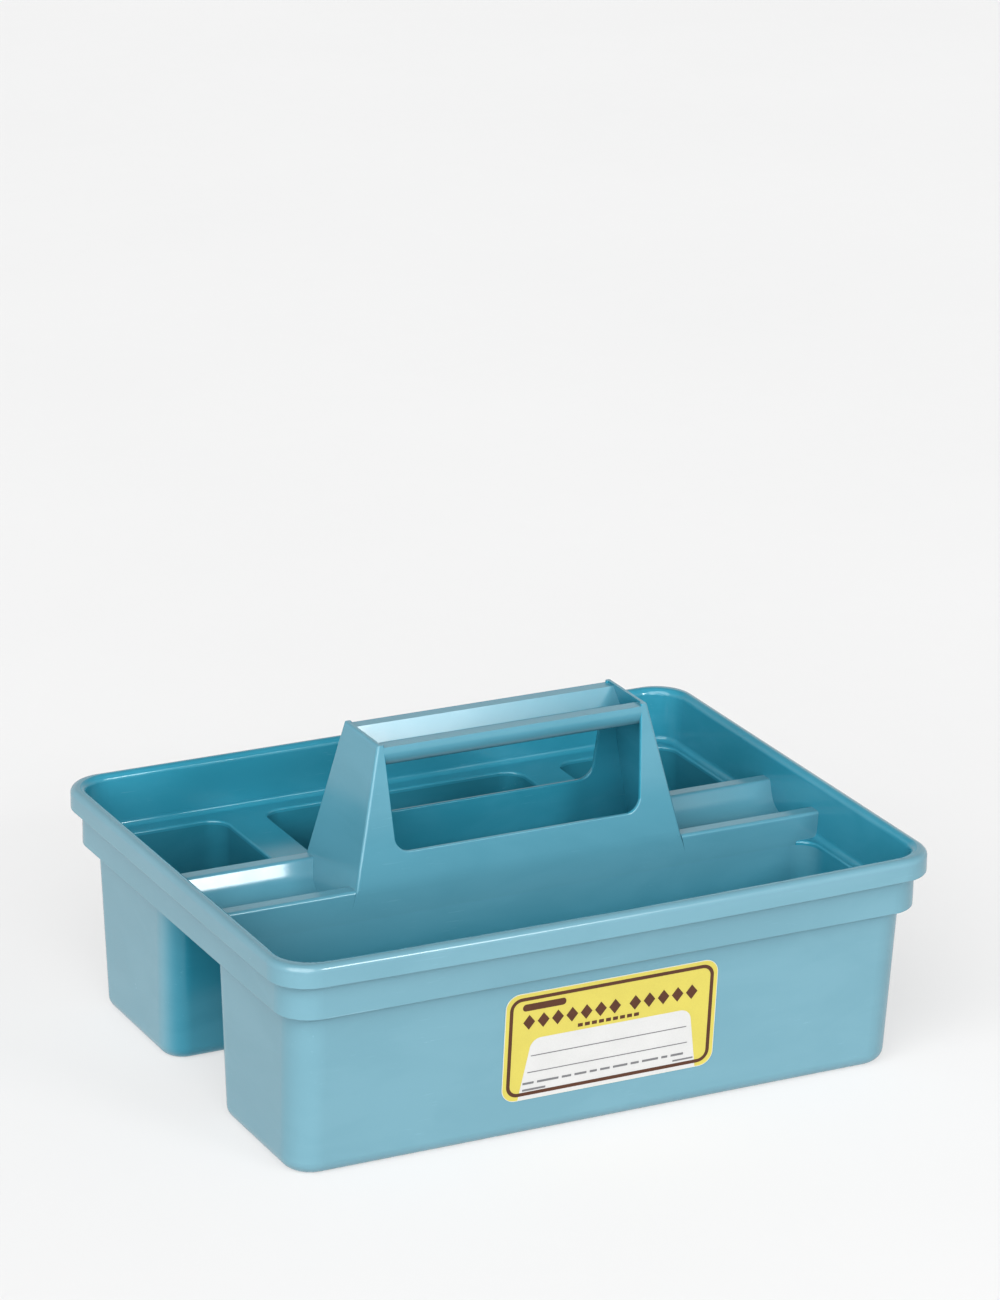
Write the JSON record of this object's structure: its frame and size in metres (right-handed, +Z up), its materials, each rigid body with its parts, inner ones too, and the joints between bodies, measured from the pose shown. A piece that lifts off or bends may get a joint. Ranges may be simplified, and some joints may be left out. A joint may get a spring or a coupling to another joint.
{
  "type": "cleaning caddy",
  "caption": "Open cleaning caddy: a long front bin, small cups behind, and a hollow fixed handle rising from a raised bridge between them.",
  "frame": {"origin": "on the ground under the middle of the rim", "axes": "+X to the right along the caddy's length, seen from the label side; +Y from the label side to the cups at the back; +Z up"},
  "size_m": [0.38, 0.3019, 0.1844],
  "materials": {
    "moulding": "glossy light teal-blue polypropylene, faintly uneven, with light handling scuffs",
    "label": "satin printed adhesive label: yellow ground, brown keyline, white writing panel"
  },
  "bodies": {
    "root": {"rim_band": "moulding", "upper_wall": "moulding", "front_ledge": "moulding", "rear_ledge": "moulding", "left_crossbar": "moulding", "right_crossbar": "moulding", "front_bin": "moulding", "rear_left_cup": "moulding", "rear_centre_cup": "moulding", "rear_right_cup": "moulding", "left_trough": "moulding", "right_trough": "moulding", "handle_front_panel": "moulding", "handle_rear_panel": "moulding", "handle_left_end": "moulding", "handle_right_end": "moulding", "handle_grip": "moulding", "label_sheet": "label"}
  },
  "joints": []
}
